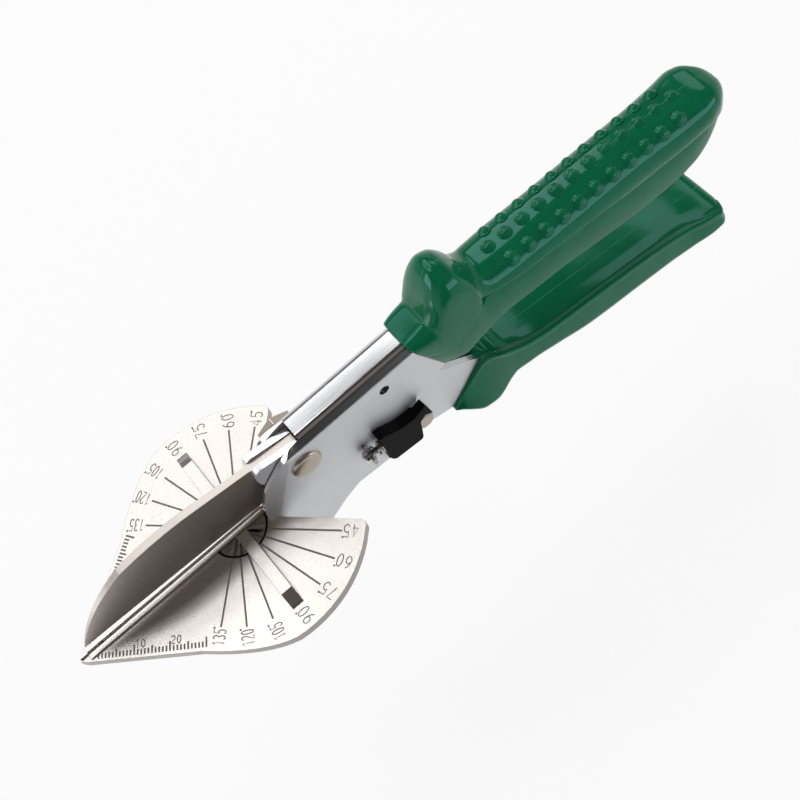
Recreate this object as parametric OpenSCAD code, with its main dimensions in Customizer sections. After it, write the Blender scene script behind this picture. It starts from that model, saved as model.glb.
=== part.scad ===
// Mitre shears: crossing levers, a protractor anvil and a flat blade.
// Floor at z = 0, handles towards +X, blade and anvil in the plane y = 0.

/* [Anvil] */
// Height of the anvil's top face above the floor
anvil_z = 30; // [29:0.5:34]
// Reach from the protractor centre to the tip
tip_reach = 53.4; // [50:0.2:58]
// Radius of the protractor wings
disc_r = 35.3; // [33:0.1:38]
// Thickness of the anvil plate
anvil_t = 3; // [2.4:0.1:3.6]
// Height of the two fences
fence_h = 2; // [1.5:0.1:2.4]
// Width of the two fences
fence_w = 3.4; // [2.6:0.1:4]
// Reach of the fences from the centre
fence_reach = 28.6; // [25:0.2:30]
// Height of the rails beside the blade slot
rail_h = 0.6; // [0.4:0.05:0.7]
// Length of the flat foot
foot_len = 14; // [10:0.5:16]

/* [Levers] */
// Thickness of the blade
blade_t = 2.4; // [2:0.1:2.8]
// Wall of the inner lever
inner_t = 2; // [1.6:0.1:2.2]
// Wall of the outer channel
outer_t = 2; // [1.6:0.1:2.2]
// Gap between the two levers' walls
side_gap = 0.3; // [0.3:0.05:0.4]
// Outer corner radius of the channel
channel_r = 3.2; // [2.4:0.1:3.4]
// Slope of the channel's top in degrees
channel_slope = 1.3; // [0.8:0.1:1.8]
// Angle of the bevel on the front of the side plates
front_bevel = 10; // [6:1:12]

/* [Pivot] */
// Diameter of the pivot bolt
bolt_d = 6; // [5:0.1:6.5]
// Diameter of the bolt's flat head
bolt_head_d = 8.9; // [8:0.1:9.5]
// Height of the bolt's flat head
bolt_head_h = 1.1; // [0.8:0.1:1.4]
// Width across the flats of the nut
nut_af = 10; // [9:0.1:10.5]
// Thickness of the nut
nut_h = 2.4; // [2:0.1:3]
// Running clearance on radius
run_gap = 0.05; // [0.03:0.01:0.08]

/* [Latch] */
// Thickness of the plastic thumb block
block_t = 2.8; // [2:0.1:3.4]
// Diameter of the catch stud's head
stud_d = 5.2; // [4.4:0.1:5.4]
// Diameter of the latch screw
screw_d = 2; // [1.6:0.1:2.2]
// Wire of the latch spring
latch_wire = 0.5; // [0.35:0.05:0.55]
// Turns of the latch spring
latch_turns = 3; // [2:0.5:3]

/* [Return spring] */
// Wire of the return spring
return_wire = 0.8; // [0.6:0.05:0.9]
// Outer diameter of the return spring
return_od = 5.8; // [5.4:0.1:6]
// Turns of the return spring
return_turns = 6; // [5:0.5:7]

/* [Grips] */
// Length of the upper grip from its collar to its end; the lower grip follows
grip_len = 109.4; // [104:0.2:118]
// Wall of the upper grip over the channel
upper_wall = 2.6; // [2.2:0.1:3]
// Half width of the lower grip
lower_half = 10.6; // [10:0.1:11.2]
// Radius of a dome on the upper grip at its foot
dome_r = 2.2; // [1.8:0.1:2.4]
// Height of a dome
dome_h = 1.2; // [0.8:0.1:1.4]
// Spacing of the domes along a row
dome_pitch = 5.66; // [5.2:0.02:6]

/* [Hidden] */
$fn = 64;

pivot_x = 24.8;
pivot_z = 12.3;
rail_half = 1.9;
edge_slot = 0.8;
pocket_r = 7.9;
pocket_deep = 0.8;
rib_w = 0.5;
anvil_rivet_at = [[1, -10], [7, -20]];
anvil_rivet_d = 4;
blade_rivet_at = [[31.5, 13.5], [34.5, 8]];
blade_rivet_d = 3;
hang_d = 3;
stud_x = 57;
stud_z = -12.2;
stud_neck_d = 3;
collar_x = 62;
blade_half = blade_t / 2;
inner_half = blade_half + inner_t;
slot_half = inner_half + side_gap;
outer_half = slot_half + outer_t;
web_front = 27;
web_z = 21.3;
latch_gap = 0.3;
plate_half = outer_half + latch_gap;
hook_half = plate_half + 0.8;
block_half = hook_half + block_t;
stud_half = hook_half - 0.3;
latch_y = -(hook_half + 1.4);
latch_z = -2.2;
lip = 1;
tab_x = 38.4;
tab_t = 1;
tab_d = 6.2;
screw_head_d = 3.8;
slider_x = 43;
seat_x = 51;
seat_z = 3.5;
cap_h = 1;
floor_z = -anvil_z;
web_under = web_z + tan(channel_slope) * (seat_x - web_front) - outer_t;

steel = [0.78, 0.79, 0.8];
nickel = [0.72, 0.7, 0.66];
bladed = [0.33, 0.31, 0.3];
green = [0.06, 0.42, 0.24];
black = [0.1, 0.1, 0.11];

slot_edge = outer_half + 5.2;

// A bend from p to q that heads for c.
function bend(p, c, q, n) =
    [for (i = [0 : n]) let (t = i / n) (1 - t) * (1 - t) * p + 2 * t * (1 - t) * c + t * t * q];

// Half outline of the anvil, from the tip round to the rear notch.
anvil_half = concat(
    [[-tip_reach, 0], [-tip_reach + 1.2, 1.3]],
    bend([-tip_reach + 26.8, 20.4], disc_r * [-0.4, 0.92], disc_r * [cos(98), sin(98)], 8),
    [for (a = [93.5 : -4.5 : 46]) [disc_r * cos(a), disc_r * sin(a)]],
    [[26.3, 23.6], [26.6, 22.6], [26.2, 21.6], [slot_edge, slot_edge - 5]]);
anvil_outline = concat(anvil_half,
    [for (i = [len(anvil_half) - 1 : -1 : 1]) [anvil_half[i][0], -anvil_half[i][1]]]);
// Side view of the outer lever.
outer_side = [
    [web_front, 26], [web_front, 20.9], [25, 20.6], [23.1, 20.1], [20.1, 19.1], [18.2, 17.8],
    [16.3, 16.2], [14.6, 14.9], [13.1, 13.5], [11.8, 12.1], [10.8, 10.5], [9.7, 8.3], [8.7, 5.6],
    [8.1, 3], [7.7, 0], [slot_edge, 0], [slot_edge, -anvil_t], [-8.5, -anvil_t], [-8.5, -7],
    [-foot_len / 2 + 1, floor_z + 1], [foot_len / 2 - 0.5, floor_z + 1], [20.5, -21.5],
    [27, -17.4], [32.5, -15.1], [42.3, -16], [49, -16], [52.5, -11.5], [55.5, -6], [57.2, -1.5],
    [58.3, 1.4], [67.4, 4.3], [74, 6.6], [84, 10.4], [104, 11], [128, 8.6], [140, 8.6], [140, 26]];

// Side view of the inner lever.
inner_side = [
    [26.4, 18.3], [15.6, 20.7], [14.3, 20.8], [13.2, 20.3], [12.5, 19.2], [12.2, 17.6], [12.4, 15.8],
    [13, 14], [14.5, 9], [18, 5], [26, 2.5], [33, -0.5], [40, -6], [50, -15], [56.6, -19], [66, -22],
    [74, -22.3], [84, -17.4], [90, -17.6], [104, -20.6], [120, -24], [138, -26.2], [138, -21.5],
    [120, -18.3], [104, -15], [90, -12.2], [80, -9.9], [67.7, -0.4], [64, 2], [58, seat_z],
    [46, seat_z], [40, 10], [34, 16]];

// Lower edge of the inner lever, where its web closes the channel.
inner_web = [
    [50, -15], [56.6, -19], [66, -22], [74, -22.3], [84, -17.4], [90, -17.6], [104, -20.6],
    [120, -24], [138, -26.2], [138, -24.2], [120, -22], [104, -18.6], [90, -15.6], [84, -15.4],
    [73.6, -20.3], [66.3, -20], [57.2, -17.1], [51, -13.4]];

// Side view of the blade.
blade_side = concat(
    bend([-49.2, 4.4], [-41.7, 17.4], [-28, 22.8], 10),
    bend([-27, 23], [-17.5, 24.6], [-8, 23.6], 4),
    [[26.4, 17.9], [34, 15.4], [38, 11], [38, 6], [30, 3.6], [16, 3.2], [14, 1.4]]);

module lift() {
    translate([0, 0, anvil_z]) children();
}

// A side view given a thickness from y0 to y1.
module slab(points, y0, y1) {
    translate([0, y1, 0]) rotate([90, 0, 0]) linear_extrude(y1 - y0) polygon(points);
}

// A cylinder along Y from y0 to y1.
module rod_y(x, z, d, y0, y1, sides = 64) {
    translate([x, y1, z]) rotate([90, 0, 0]) cylinder(d = d, h = y1 - y0, $fn = sides);
}

// A cylinder along X from x0 to x1.
module rod_x(y, z, d, x0, x1) {
    translate([x0, y, z]) rotate([0, 90, 0]) cylinder(d = d, h = x1 - x0);
}

// Solid of a ring of sections, each with the same number of points.
module loft(sections) {
    n = len(sections[0]);
    m = len(sections);
    points = [for (s = sections) for (p = s) p];
    sides = [for (i = [0 : m - 2]) for (j = [0 : n - 1])
        let (a = i * n + j, b = i * n + (j + 1) % n, c = a + n, d = b + n)
        for (t = [[a, b, d], [a, d, c]]) t];
    first = [[for (j = [n - 1 : -1 : 0]) j]];
    last = [[for (j = [0 : n - 1]) (m - 1) * n + j]];
    polyhedron(points, concat(sides, first, last));
}

// A coil along +Z with straight ends, as one tube.
function coil_path(r, length, turns, lead) =
    let (steps = floor(turns * 8))
    concat(
        [[r, -lead, 0]],
        [for (i = [0 : steps]) [r * cos(i * 45), r * sin(i * 45), length * i / steps]],
        [[r * cos(steps * 45) - lead * sin(steps * 45),
          r * sin(steps * 45) + lead * cos(steps * 45), length]]);

function unit(v) = v / norm(v);

module coil(r, length, turns, wire) {
    path = coil_path(r, length, turns, wire);
    n = len(path);
    rings = [for (i = [0 : n - 1])
        let (t = unit(path[min(i + 1, n - 1)] - path[max(i - 1, 0)]),
             out = unit([path[i][0], path[i][1], 0]),
             side = unit(cross(t, out)),
             o = unit(cross(side, t)))
        [for (k = [0 : 5]) path[i] + wire / 2 * (cos(k * 60) * o + sin(k * 60) * side)]];
    loft(rings);
    gap = length / turns - wire;
    echo("least gap of a coil to itself", gap);
}

module anvil_plate() {
    color(nickel) lift() {
        difference() {
            union() {
                translate([0, 0, -anvil_t]) linear_extrude(anvil_t) polygon(anvil_outline);
                for (s = [-1, 1]) mirror([0, s < 0 ? 1 : 0, 0])
                    translate([-fence_w / 2, 0, 0]) rotate([90, 0, 90]) linear_extrude(fence_w)
                        polygon([[3, -0.2], [3, fence_h], [fence_reach - 4.6, fence_h],
                                 [fence_reach - 2.6, fence_h - 0.6], [fence_reach - 0.8, fence_h - 1.5],
                                 [fence_reach, -0.2]]);
                translate([-tip_reach + 3, -rail_half, -0.2])
                    cube([tip_reach + 5, 2 * rail_half, rail_h + 0.2]);
                slab([[-10, -anvil_t + 0.2], [13.5, -anvil_t + 0.2], [18, -19.5], [foot_len / 2, floor_z],
                      [-foot_len / 2, floor_z], [-10, -8]], -slot_half + 0.02, slot_half - 0.02);
            }
            // round pocket at the centre, with the fences, rails and thin ribs left standing in it
            translate([0, 0, -pocket_deep]) difference() {
                cylinder(r = pocket_r, h = pocket_deep + 0.4);
                for (a = [90, -90]) rotate(a) translate([0, -fence_w / 2, -1]) cube([12, fence_w, 4]);
                translate([-12, -rail_half, -1]) cube([24, 2 * rail_half, 4]);
                for (a = [45, 60, 120, 135], s = [-1, 1]) rotate(s * a)
                    translate([2.4, -rib_w / 2, -1]) cube([12, rib_w, 4]);
            }
            translate([-tip_reach - 1, -edge_slot / 2, -0.8]) cube([tip_reach + 10, edge_slot, 3]);
            for (p = anvil_rivet_at) rod_y(p[0], p[1], anvil_rivet_d, -20, 20);
        }
    }
}

module anvil_rivets() {
    color(nickel) lift() for (p = anvil_rivet_at) {
        rod_y(p[0], p[1], anvil_rivet_d, -outer_half, outer_half);
        rod_y(p[0], p[1], anvil_rivet_d + 3, -outer_half - 1, -outer_half);
        rod_y(p[0], p[1], anvil_rivet_d + 3, outer_half, outer_half + 1);
    }
}

// Rounded bar along the channel's top, cut to the side view.
module outer_solid() {
    intersection() {
        slab(outer_side, -outer_half - 1, outer_half + 1);
        translate([web_front, 0, web_z]) rotate([0, -channel_slope, 0]) translate([-60, 0, 0])
            rotate([90, 0, 90]) linear_extrude(200) {
                translate([-outer_half, -90]) square([2 * outer_half, 90 - channel_r]);
                translate([-outer_half + channel_r, -90]) square([2 * (outer_half - channel_r), 90]);
                for (s = [-1, 1]) translate([s * (outer_half - channel_r), -channel_r]) circle(channel_r);
            }
    }
}

// The same bar with flats round its corners, each touching the true corner: the room inside the grip.
module grip_bore() {
    reach = channel_r / cos(7.5);
    side = [for (a = [7.5 : 15 : 82.5])
        [outer_half - channel_r + reach * cos(a), -channel_r + reach * sin(a)]];
    n = len(side);
    intersection() {
        slab(outer_side, -outer_half - 1, outer_half + 1);
        translate([web_front, 0, web_z]) rotate([0, -channel_slope, 0]) translate([-60, 0, 0])
            rotate([90, 0, 90]) linear_extrude(200) polygon(concat(
                [[outer_half, -90]], side, [for (i = [n - 1 : -1 : 0]) [-side[i][0], side[i][1]]],
                [[-outer_half, -90]]));
    }
}

module outer_channel() {
    color(steel) lift() difference() {
        outer_solid();
        // the web starts at web_front, so the blade and its lever swing up between the side plates
        slab([[-60, -90], [-60, 60], [web_front, 60], [web_front, web_z - outer_t],
              [240, web_z - outer_t + tan(channel_slope) * (240 - web_front)], [240, -90]],
             -slot_half, slot_half);
        for (s = [-1, 1])
            translate([11.9, 0, 0.2]) rotate([0, 28.4, 0]) translate([0, 0, -4]) linear_extrude(40)
                polygon([[1, s * (outer_half + tan(front_bevel))], [1, s * (outer_half + 3)],
                         [-14, s * (outer_half + 3)], [-14, s * (outer_half - 14 * tan(front_bevel))]]);
        rod_y(pivot_x, pivot_z, bolt_d, -20, 20);
        rod_y(51.8, 15.2, hang_d, -20, 20);
        for (p = anvil_rivet_at) rod_y(p[0], p[1], anvil_rivet_d, -20, 20);
    }
}

module stop_pin() {
    color(steel) lift() rod_y(27.5, -10.3, 3.5, -slot_half, slot_half);
}

module pivot_bolt() {
    color(nickel) lift() {
        rod_y(pivot_x, pivot_z, bolt_d, -outer_half, outer_half + 0.8 + nut_h + 0.6);
        rod_y(pivot_x, pivot_z, bolt_head_d, -outer_half - bolt_head_h, -outer_half);
    }
}

module pivot_washer() {
    color(nickel) lift() difference() {
        rod_y(pivot_x, pivot_z, 11.6, outer_half, outer_half + 0.8);
        rod_y(pivot_x, pivot_z, bolt_d, outer_half - 1, outer_half + 3);
    }
}

module pivot_nut() {
    color(nickel) lift() difference() {
        translate([pivot_x, outer_half + 0.8, pivot_z]) rotate([-90, 30, 0]) linear_extrude(nut_h)
            polygon([for (a = [0 : 60 : 300]) nut_af / sqrt(3) * [cos(a), sin(a)]]);
        rod_y(pivot_x, pivot_z, bolt_d, outer_half - 1, outer_half + 9);
    }
}

module inner_lever() {
    color(steel) lift() difference() {
        union() {
            for (s = [-1, 1]) mirror([0, s > 0 ? 0 : 1, 0]) slab(inner_side, blade_half, inner_half);
            slab(inner_web, -inner_half, inner_half);
        }
        rod_y(pivot_x, pivot_z, bolt_d + 2 * run_gap, -20, 20);
        for (p = blade_rivet_at) rod_y(p[0], p[1], blade_rivet_d, -20, 20);
        rod_y(stud_x, stud_z, stud_neck_d, -20, 0);
    }
}

module blade() {
    color(bladed) lift() difference() {
        slab(blade_side, -blade_half, blade_half);
        rod_y(pivot_x, pivot_z, bolt_d + 2 * run_gap, -20, 20);
        for (p = blade_rivet_at) rod_y(p[0], p[1], blade_rivet_d, -20, 20);
        // the two ground faces, meeting just inside the edge
        for (s = [-1, 1]) mirror([0, s > 0 ? 0 : 1, 0])
            translate([0, 0.15, 2.1]) rotate([0, 2.9, 0])
                rotate([-atan((blade_half - 0.15) / 22), 0, 0])
                    translate([-80, 0, -20]) cube([91.8, 6, 60]);
    }
}

module blade_rivets() {
    color(nickel) lift() for (p = blade_rivet_at)
        rod_y(p[0], p[1], blade_rivet_d, -inner_half, inner_half);
}

module catch_stud() {
    color(nickel) lift() {
        rod_y(stud_x, stud_z, stud_neck_d, -inner_half, -blade_half);
        rod_y(stud_x, stud_z, stud_d, -stud_half, -inner_half);
    }
}

module latch_bracket() {
    color(steel) lift() difference() {
        intersection() {
            rod_x(latch_y, latch_z, tab_d, tab_x, tab_x + tab_t);
            translate([tab_x - 1, -outer_half - 20, latch_z - 10]) cube([4, 20, 20]);
        }
        rod_x(latch_y, latch_z, screw_d, tab_x - 1, tab_x + 4);
    }
}

module latch_screw() {
    color(steel) lift() {
        rod_x(latch_y, latch_z, screw_d, tab_x, 49.5);
        rod_x(latch_y, latch_z, screw_head_d, tab_x - 1.6, tab_x);
    }
}

module latch_spring() {
    color(steel) lift() translate([tab_x + tab_t + latch_wire / 2 + 0.02, latch_y, latch_z])
        rotate([0, 90, 0])
            coil(screw_d / 2 + 0.5 + latch_wire / 2, slider_x - tab_x - tab_t - latch_wire - 0.04,
                 latch_turns, latch_wire);
}

module latch_slider() {
    color(black) lift() difference() {
        union() {
            slab([[slider_x, 3.2], [44.5, 2.9], [46.7, 1.8], [49.7, 0.2], [53.7, -0.3], [58.2, 1.4],
                  [59.2, -4.5], [57, -2.6], [55, -4.2], [54.4, -7.9], [53.7, -11.6], [53, -12.4],
                  [44.3, -11.4], [43.2, -10], [slider_x, -8]], -block_half, -hook_half + 0.1);
            slab([[slider_x, 3], [44.4, 2.7], [46.6, 1.6], [49.6, 0], [53.8, -0.5], [55.4, -0.2],
                  [54.4, -6.6], [52.6, -9.5], [50.8, -12], [49.8, -15], [44, -15], [slider_x, -14]],
                 -hook_half - 0.1, -plate_half);
        }
        rod_x(latch_y, latch_z, screw_d + 2 * run_gap, slider_x - 1, 52);
    }
}

module spring_cap() {
    color(steel) lift() intersection() {
        translate([seat_x, 0, web_under - cap_h]) cylinder(d = return_od, h = 3);
        translate([web_front, 0, web_z - outer_t]) rotate([0, -channel_slope, 0])
            translate([-80, -20, -120]) cube([300, 40, 120]);
    }
}

module spring_seat() {
    color(steel) lift() {
        translate([seat_x, 0, seat_z]) cylinder(d = return_od, h = 1.2);
        translate([seat_x, 0, seat_z - 6]) cylinder(d = blade_t - 0.1, h = 6.1);
    }
}

module return_spring() {
    color(steel) lift() translate([seat_x, 0, seat_z + 1.2 + return_wire / 2 + 0.02])
        coil((return_od - return_wire) / 2, web_under - cap_h - seat_z - 1.2 - return_wire - 0.04 - 0.08,
             return_turns, return_wire);
}

// A slow start and a slow stop between a and b.
function ease(x, a, b) = let (t = min(max((x - a) / (b - a), 0), 1)) t * t * (3 - 2 * t);

// One section of the upper grip at x: top, foot of the bar, bottom, half widths of bar and skirt.
// Below the channel's top it leans back near the collar, whose front edge is slanted. The top's arc
// stops where the lip begins.
function upper_section(x, level, top, step, bottom, bar, skirt, round, inset, lean) =
    let (end = asin(max(0, 1 - (top - step - lip) / round)),
        turn = (90 + end) / 3,
        lip_y = bar - round + (round - inset) * cos(end),
        lip_z = step + lip - lip * sin(end),
        half = concat(
        [for (i = [0 : 5]) let (a = 90 - i * (90 - end) / 5)
            [bar - round + round * cos(a), top - round + round * sin(a)]],
        [for (i = [1 : 3]) [lip_y + inset * cos(end - i * turn), lip_z + lip * sin(end - i * turn)]],
        [[skirt, lip_z - 1.7 * lip]],
        [for (a = [0 : -45 : -90]) [skirt - 1.4 + 1.4 * cos(a), bottom + 1.4 + 1.4 * sin(a)]]),
        n = len(half))
    concat([for (p = half) [x + lean * max(0, level - p[1]), p[0], p[1]]],
           [for (i = [n - 1 : -1 : 0]) [x + lean * max(0, level - half[i][1]), -half[i][0], half[i][1]]]);

upper_table = [
    [61.6, -1.6, 15, 5.8, -1.6, -1.6, 3], [63.5, -1.2, 14, 5.6, -1.1, -1.1, 3.4],
    [66, -0.8, 13, 5.4, -0.6, -0.6, 4], [69.2, -0.2, 12, 5.3, -0.2, -0.2, 4.8],
    [71.2, 3.2, 12, 5.3, 0, 0, 5.6], [73.2, 8.2, 13, 5.4, 0.1, 0.1, 6.6],
    [75.5, 12.1, 14, 5.6, 0.1, 0.1, 7.4], [78, 13.9, 15, 6.1, 0.1, 0.1, 7.8],
    [81, 12.7, 16, 6.9, 0.1, 0.1, 7.6], [84, 8.4, 20, 7.4, 0.1, 0.1, 7.2],
    [85.4, 5.6, 21.6, 7.6, -0.5, 0, 7.2], [86.6, 3.9, 21.8, 7.8, -0.3, -0.1, 6.8],
    [88.6, 2.2, 21.6, 8, 0.2, -0.1, 6.9], [90, 1.9, 21.3, 8, 0.5, -0.2, 7],
    [98, 1.5, 20.1, 7.2, 0.9, -0.3, 7.2], [108, 1.2, 19.4, 6.4, 1, -0.3, 7.8],
    [124, 1, 17.8, 3.9, 1.1, -0.3, 8.6], [138, 0.7, 16.4, 2, 1.1, -0.3, 8.4],
    [148, -0.1, 16.2, 1.6, 1.3, -0.4, 8], [156, -0.5, 16.4, 2.8, 1.5, -0.6, 7.2],
    [161, -0.6, 16.6, 4.6, 1.5, -1.2, 6], [165, -1.4, 16.6, 7.4, 0.6, -2.1, 4.6],
    [168.5, -3.2, 16.4, 10.4, -1.9, -3.4, 3.4], [170.6, -5.3, 16, 12.6, -4.6, -5, 2.2],
    [171.3, -7.4, 15.6, 13.4, -6, -6.3, 1.4]];

// A grip's table is drawn for a length of 109.4 from the collar.
function grip_x(x) = collar_x + (x - collar_x) * grip_len / 109.4;

function upper_top(x) = web_z + upper_wall + tan(channel_slope) * (min(x, 124) - web_front);

// One column of the upper grip's table at x.
function upper_column(x, k) = lookup(x, [for (r = upper_table) [r[0], r[k]]]);

// Staggered rows of domes on the bar, each dome a ball sunk along the bar's own direction.
dome_rows = [[97, -6, 10], [94.6, 0, 11], [97, 5, 10]];
dome_ball = (dome_r * dome_r + dome_h * dome_h) / (2 * dome_h);

module domes() {
    for (row = dome_rows, i = [0 : row[2]]) {
        x = row[0] + i * dome_pitch;
        round = upper_column(x, 6);
        tilt = asin(max(0, abs(row[1]) - (outer_half + upper_wall + upper_column(x, 4) - round)) / round);
        out = [0, sign(row[1]) * sin(tilt), cos(tilt)];
        foot = [grip_x(x), row[1], upper_top(x) + upper_column(x, 1) - round * (1 - cos(tilt))];
        translate(foot - (dome_ball - dome_h) * out) sphere(dome_ball, $fn = 24);
    }
}

module upper_grip() {
    color(green) lift() difference() {
        union() {
            domes();
            loft([for (r = upper_table)
                upper_section(grip_x(r[0]), upper_top(r[0]), upper_top(r[0]) + r[1], r[2], r[3],
                              outer_half + upper_wall + r[4], outer_half + upper_wall + r[5], r[6],
                              0.05 + 0.95 * ease(r[0], 83.8, 85.8), 0.42 * (1 - ease(r[0], 62, 80)))]);
        }
        grip_bore();
        translate([40, -slot_half, -10]) cube([100, 2 * slot_half, 32]);
    }
}

// One section of the lower grip at x: top, bottom and the half widths there.
function lower_section(x, top, bottom, wide, narrow, round_top, round_low) =
    let (half = concat(
        [for (a = [90 : -30 : 0])
            [wide - round_top + round_top * cos(a), top - round_top + round_top * sin(a)]],
        [for (a = [0 : -15 : -90])
            [narrow - round_low + round_low * cos(a), bottom + round_low + round_low * sin(a)]]),
        n = len(half))
    concat([for (p = half) [x, p[0], p[1]]],
           [for (i = [n - 1 : -1 : 0]) [x, -half[i][0], half[i][1]]]);

lower_table = [
    [66.4, -21.8, -22.9, -6, -6.1, 0.4, 0.5], [68, -20.4, -23.8, -6.2, -5, 0.8, 1.6],
    [70, -18.6, -26, -6.1, -3.6, 1, 3.4], [74, -14.8, -29.4, -6, -2.2, 1, 4.8],
    [78, -10.8, -29.9, -5.6, -2, 1, 5], [80.6, -8, -28.6, -4.4, -2, 1, 5],
    [83.4, -6.4, -24.8, -2.3, -1.5, 1.2, 5], [87, -7.5, -21.4, -1.1, -0.8, 1.4, 4.6],
    [92, -9.4, -21.3, -0.5, -0.2, 1.4, 4.6], [100, -11, -23, -0.1, 0.3, 1.4, 5],
    [112, -12.6, -26, 0, 0.8, 1.4, 5.4], [126, -14.8, -28, 0, 0.8, 1.4, 5.4],
    [140, -17, -29.4, 0.2, 0.9, 1.4, 5], [150, -19.4, -30, 0.6, 1.4, 1.4, 4.4],
    [157, -21.2, -29.8, 1.3, 2.1, 1.4, 3.6], [160.6, -22.2, -29.3, 1.3, 2, 1.4, 3],
    [162.6, -23, -28.6, -0.3, 0.3, 1.3, 2.2], [163.7, -24.2, -27.4, -2.8, -2.9, 1, 1.2]];

module lower_grip() {
    color(green) lift() difference() {
        loft([for (r = lower_table)
            lower_section(grip_x(r[0]), r[1], r[2], lower_half + r[3], lower_half + r[4], r[5], r[6])]);
        slab(inner_side, -inner_half, inner_half);
    }
}

anvil_plate();
anvil_rivets();
outer_channel();
stop_pin();
upper_grip();
pivot_bolt();
pivot_washer();
pivot_nut();
inner_lever();
blade();
blade_rivets();
lower_grip();
catch_stud();
latch_bracket();
latch_screw();
latch_spring();
latch_slider();
return_spring();
spring_cap();
spring_seat();
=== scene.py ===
# %% [markdown]
# Mitre shears, dressed for a picture.
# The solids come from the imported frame: an anvil with a protractor, a blade, two crossing levers,
# a latch and two grips. This lesson leaves them where they are, gives each a finish, and builds
# anew what a plain solid can't show: the moulded grips, the marks on the anvil and the coils.

# %% Load the frame
import math

import bmesh
import bpy
import numpy as np
from mathutils import Matrix, Vector


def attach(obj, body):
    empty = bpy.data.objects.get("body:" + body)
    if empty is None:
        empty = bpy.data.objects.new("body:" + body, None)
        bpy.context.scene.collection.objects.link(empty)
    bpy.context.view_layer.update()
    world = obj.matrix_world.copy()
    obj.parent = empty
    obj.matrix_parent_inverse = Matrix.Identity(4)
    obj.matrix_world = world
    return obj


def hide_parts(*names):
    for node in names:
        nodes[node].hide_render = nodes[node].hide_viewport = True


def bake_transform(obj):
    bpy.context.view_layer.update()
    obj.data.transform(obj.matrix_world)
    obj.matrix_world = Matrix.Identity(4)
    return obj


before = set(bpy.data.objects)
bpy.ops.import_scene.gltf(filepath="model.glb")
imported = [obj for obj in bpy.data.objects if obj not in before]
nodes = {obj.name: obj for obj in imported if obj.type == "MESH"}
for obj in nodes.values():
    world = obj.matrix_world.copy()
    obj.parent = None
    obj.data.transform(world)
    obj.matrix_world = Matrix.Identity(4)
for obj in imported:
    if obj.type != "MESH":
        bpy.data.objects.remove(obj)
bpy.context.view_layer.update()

# %% [markdown]
# Sizes here are written in millimetres from one datum, the protractor's centre on the anvil's top
# face, because every mark and every section was measured from there. One function turns them into
# the frame's metres, so the numbers stay readable.

# %% Millimetres to the frame
MM = 0.001
ANVIL_TOP = 30.0


def at(x, y, z):
    return Vector((x * MM, y * MM, (z + ANVIL_TOP) * MM))


print("protractor centre at", [round(v, 4) for v in at(0, 0, 0)])

# %% [markdown]
# The camera looks down on the near side at about 61 degrees, rolled so that the tool lies along the
# picture's diagonal. Its place and its three directions were solved from the ruler and the angle
# lines, so they are written out as one matrix rather than aimed at a point.

# %% Camera
camera_right = Vector((0.758367, -0.601891, -0.250212))
camera_up = Vector((0.646003, 0.642810, 0.411675))
camera_back = Vector((-0.086945, -0.473838, 0.876309))
camera_place = at(24.411, -166.538, 303.592)
camera = bpy.data.objects.new("camera", bpy.data.cameras.new("camera"))
bpy.context.scene.collection.objects.link(camera)
camera.matrix_world = Matrix.Translation(camera_place) @ Matrix(
    (camera_right, camera_up, camera_back)).transposed().to_4x4()
camera.data.sensor_width = 36.0
camera.data.lens = 58.5
camera.data.clip_start = 0.01
bpy.context.scene.camera = camera
bpy.context.scene.view_settings.view_transform = "Standard"
print("camera at", [round(v, 3) for v in camera_place])

# %% [markdown]
# Every finish is a node tree. Two small helpers are enough: one turns a hex colour, as a paint
# chart gives it, into the linear numbers a shader wants, and one adds a node with its settings
# and its links in a single call.

# %% Colour and node helpers
def hex_colour(text):
    parts = [int(text[i:i + 2], 16) / 255 for i in (1, 3, 5)]
    linear = [c / 12.92 if c <= 0.04045 else ((c + 0.055) / 1.055) ** 2.4 for c in parts]
    return (*linear, 1.0)


def add_node(tree, kind, inputs=None, **settings):
    made = tree.nodes.new(kind)
    for name, value in settings.items():
        setattr(made, name, value)
    for socket, value in (inputs or {}).items():
        if isinstance(value, bpy.types.NodeSocket):
            tree.links.new(value, made.inputs[socket])
        else:
            made.inputs[socket].default_value = value
    return made


def new_finish(name):
    finish = bpy.data.materials.new(name)
    finish.use_nodes = True
    tree = finish.node_tree
    tree.nodes.clear()
    shader = add_node(tree, "ShaderNodeBsdfPrincipled")
    add_node(tree, "ShaderNodeOutputMaterial", {"Surface": shader.outputs[0]})
    place = add_node(tree, "ShaderNodeTexCoord").outputs["Object"]
    return finish, tree, shader, place


print("node helpers ready")

# %% [markdown]
# Every shape that is built here starts as a loose mesh. It could be drawn with Blender's own
# operators, but they depend on what is selected, so the points and faces are written directly. One
# helper puts an object in the scene, and one turns a finished loose mesh into such an object.

# %% Mesh helpers
def add_object(name, data):
    made = bpy.data.objects.new(name, data)
    bpy.context.scene.collection.objects.link(made)
    return made


def keep_mesh(name, loose):
    data = bpy.data.meshes.new(name)
    loose.to_mesh(data)
    loose.free()
    return add_object(name, data)


print("mesh helpers ready")

# %% [markdown]
# The stage is a pale table that curves up into a low wall all round, as in a photographer's sweep,
# under a dim ceiling. Polished steel is only a mirror: its white bands are the lamps, and its dark
# bands are the ceiling. A flat plane would do for a floor, but its far edge would show in the steel,
# so one profile is turned into a bowl instead. The table lies below the tool, because the lower
# lever swings down as the jaws open. It shows nearly white to the camera and greyer in reflections,
# and the rest of its paint takes the lamps' light, so that a soft shadow stays.

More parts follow.
